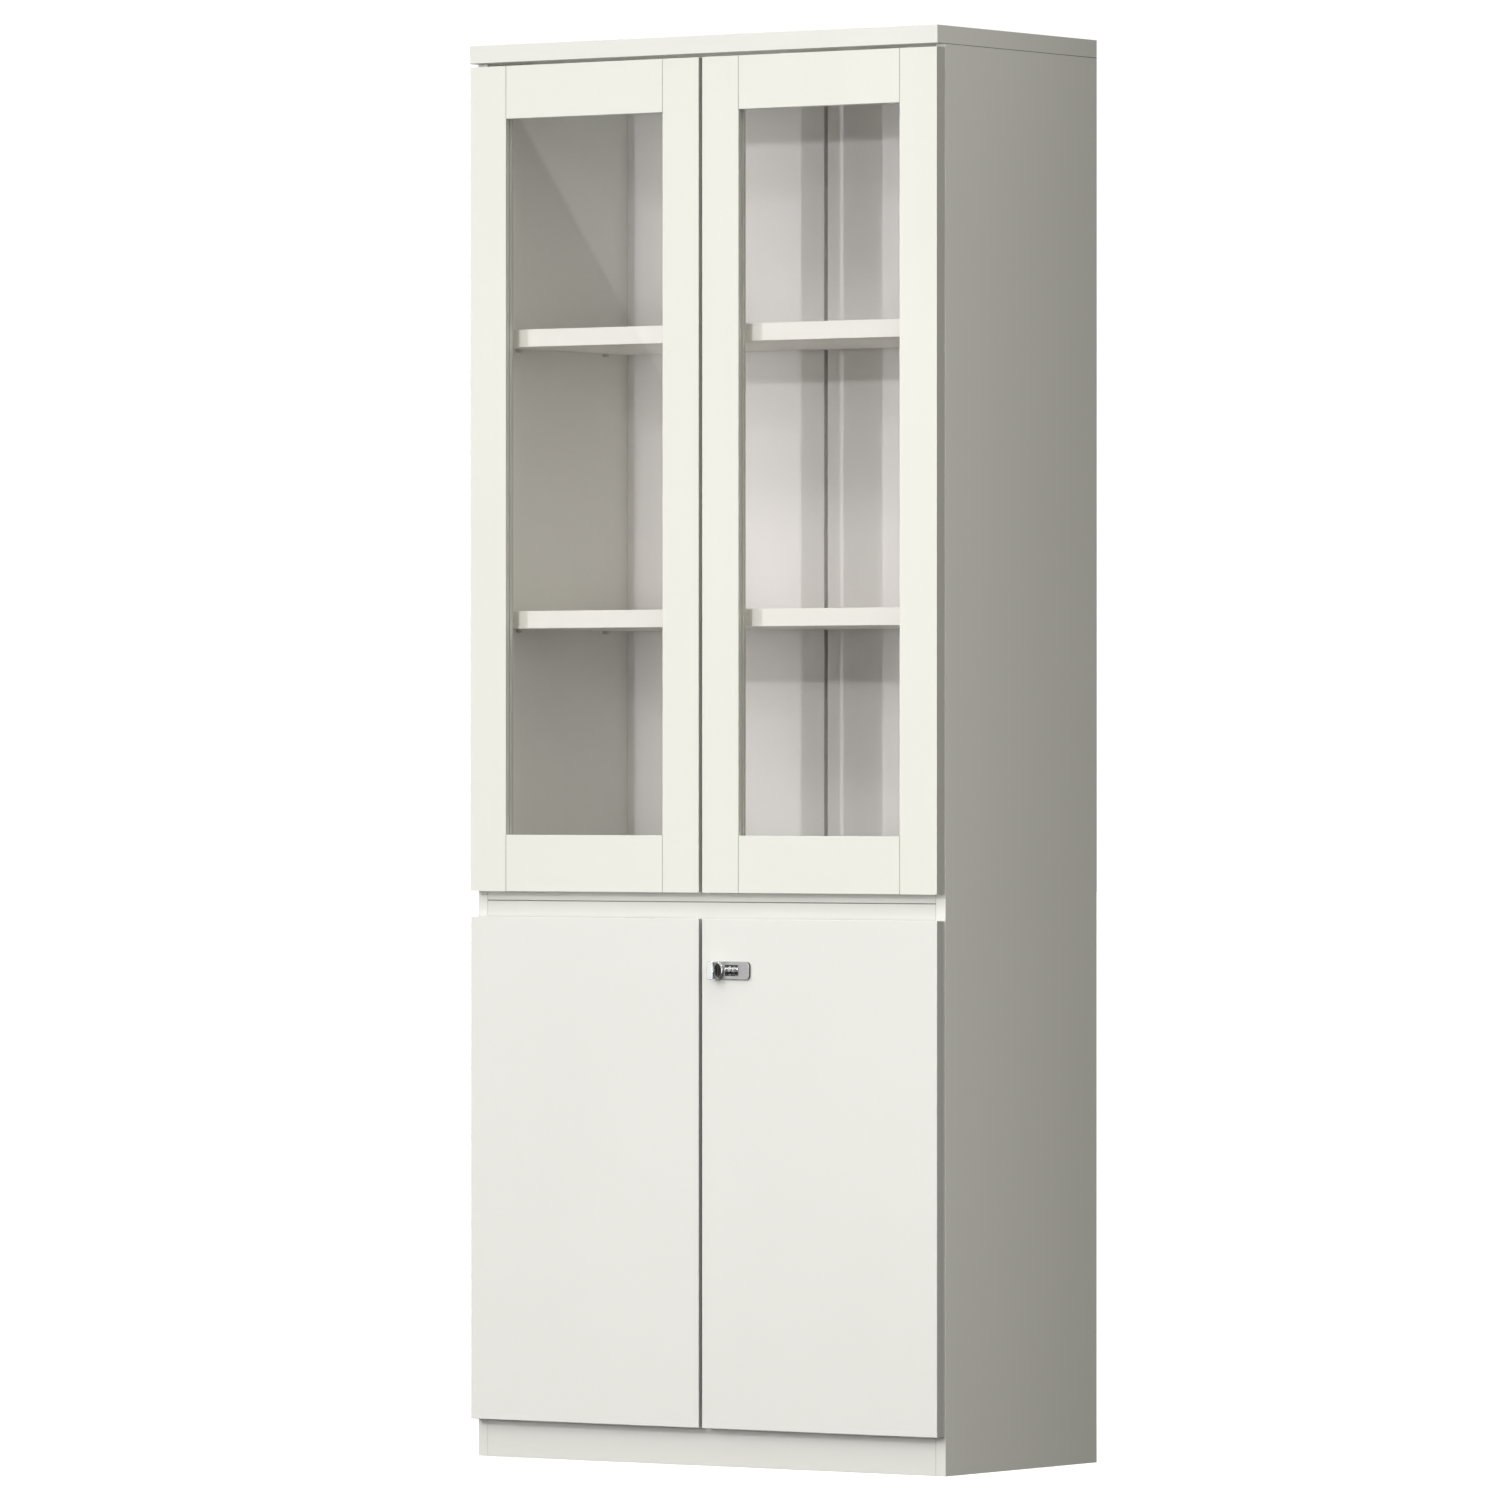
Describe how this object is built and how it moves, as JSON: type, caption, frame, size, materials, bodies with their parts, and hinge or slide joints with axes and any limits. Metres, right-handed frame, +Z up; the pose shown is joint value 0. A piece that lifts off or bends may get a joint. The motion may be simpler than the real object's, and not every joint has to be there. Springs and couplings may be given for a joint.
{
  "type": "office bookcase",
  "caption": "Tall white bookcase with framed glass doors above, solid doors below, a finger channel between them, loose shelves, cup hinges and a small combination lock.",
  "frame": {"origin": "on the floor at the centre of the whole box: the doors' fronts are at y = -190 mm, the rear is at y = +210 mm, and the lock knob reaches 20 mm out to y = -210 mm", "axes": "+Z is up, +X is to the right as one faces the doors, and the doors face -Y"},
  "size_m": [0.8, 0.42, 2],
  "materials": {
    "cabinet_board": "white melamine-faced board, satin, with matching edge banding",
    "door_board": "white melamine-faced board, satin",
    "glass": "clear float glass, polished edges",
    "zinc_steel": "zinc-plated pressed steel",
    "bright_steel": "bright nickel-plated steel",
    "lock_case": "satin nickel-plated zinc casting",
    "lock_knob": "polished chrome",
    "number_wheels": "satin nickel-plated brass with black-filled numbers",
    "bumpers": "soft translucent silicone"
  },
  "bodies": {
    "cabinet": {"side_left": "cabinet_board", "side_right": "cabinet_board", "top_panel": "cabinet_board", "middle_shelf": "cabinet_board", "middle_rail": "cabinet_board", "bottom_panel": "cabinet_board", "plinth_front": "cabinet_board", "plinth_rear": "cabinet_board", "back_board_left": "cabinet_board", "back_board_right": "cabinet_board", "back_batten": "cabinet_board", "wall_rail": "cabinet_board", "high_shelf": "cabinet_board", "low_shelf": "cabinet_board", "cupboard_shelf": "cabinet_board", "shelf_pins": "bright_steel", "cam_discs": "zinc_steel", "cam_bolts": "zinc_steel", "door_bumpers": "bumpers", "hinge_plates_left": "zinc_steel", "hinge_plates_right": "zinc_steel", "hinge_plate_screws": "bright_steel", "hinge_arms_upper_left": "zinc_steel", "hinge_arms_upper_right": "zinc_steel", "hinge_arms_lower_left": "zinc_steel", "hinge_arms_lower_right": "zinc_steel"},
    "upper_left_door": {"upper_left_outer_stile": "door_board", "upper_left_inner_stile": "door_board", "upper_left_top_rail": "door_board", "upper_left_bottom_rail": "door_board", "upper_left_glass": "glass", "upper_left_glazing_beads": "door_board", "upper_left_hinge_cups": "zinc_steel", "upper_left_cup_screws": "bright_steel"},
    "upper_right_door": {"upper_right_outer_stile": "door_board", "upper_right_inner_stile": "door_board", "upper_right_top_rail": "door_board", "upper_right_bottom_rail": "door_board", "upper_right_glass": "glass", "upper_right_glazing_beads": "door_board", "upper_right_hinge_cups": "zinc_steel", "upper_right_cup_screws": "bright_steel"},
    "lower_left_door": {"lower_left_panel": "door_board", "lower_left_hinge_cups": "zinc_steel", "lower_left_cup_screws": "bright_steel", "bolt_body": "zinc_steel"},
    "lower_right_door": {"lower_right_panel": "door_board", "lower_right_hinge_cups": "zinc_steel", "lower_right_cup_screws": "bright_steel", "lock_body": "lock_case", "lock_nut": "zinc_steel", "wheel_axle": "bright_steel"},
    "door_bolt": {"bolt_bar": "bright_steel"},
    "knob_and_cam": {"lock_knob": "lock_knob", "lock_cam": "zinc_steel", "cam_screw": "bright_steel"},
    "wheel_one": {"number_wheel_1": "number_wheels"},
    "wheel_two": {"number_wheel_2": "number_wheels"},
    "wheel_three": {"number_wheel_3": "number_wheels"}
  },
  "joints": [
    {"name": "upper_left_door_hinge", "type": "hinge", "parent": "cabinet", "child": "upper_left_door", "pos_m": [-0.393, -0.182, 1.386], "axis": [0, 0, -1], "range_deg": [0, 95]},
    {"name": "upper_right_door_hinge", "type": "hinge", "parent": "cabinet", "child": "upper_right_door", "pos_m": [0.393, -0.182, 1.386], "axis": [0, 0, 1], "range_deg": [0, 95]},
    {"name": "lower_left_door_hinge", "type": "hinge", "parent": "cabinet", "child": "lower_left_door", "pos_m": [-0.393, -0.182, 0.41], "axis": [0, 0, -1], "range_deg": [0, 95]},
    {"name": "lower_right_door_hinge", "type": "hinge", "parent": "cabinet", "child": "lower_right_door", "pos_m": [0.393, -0.182, 0.41], "axis": [0, 0, 1], "range_deg": [0, 95]},
    {"name": "door_bolt_slide", "type": "slide", "parent": "lower_left_door", "child": "door_bolt", "axis": [0, 0, 1], "range_m": [0, 0.02]},
    {"name": "lock_knob_turn", "type": "hinge", "parent": "lower_right_door", "child": "knob_and_cam", "pos_m": [0.03, -0.19, 0.694], "axis": [0, -1, 0], "range_deg": [0, 90]},
    {"name": "wheel_one_spin", "type": "hinge", "parent": "lower_right_door", "child": "wheel_one", "pos_m": [0.04845, -0.1855, 0.694], "axis": [1, 0, 0], "continuous": true},
    {"name": "wheel_two_spin", "type": "hinge", "parent": "lower_right_door", "child": "wheel_two", "pos_m": [0.056, -0.1855, 0.694], "axis": [1, 0, 0], "continuous": true},
    {"name": "wheel_three_spin", "type": "hinge", "parent": "lower_right_door", "child": "wheel_three", "pos_m": [0.06355, -0.1855, 0.694], "axis": [1, 0, 0], "continuous": true}
  ]
}
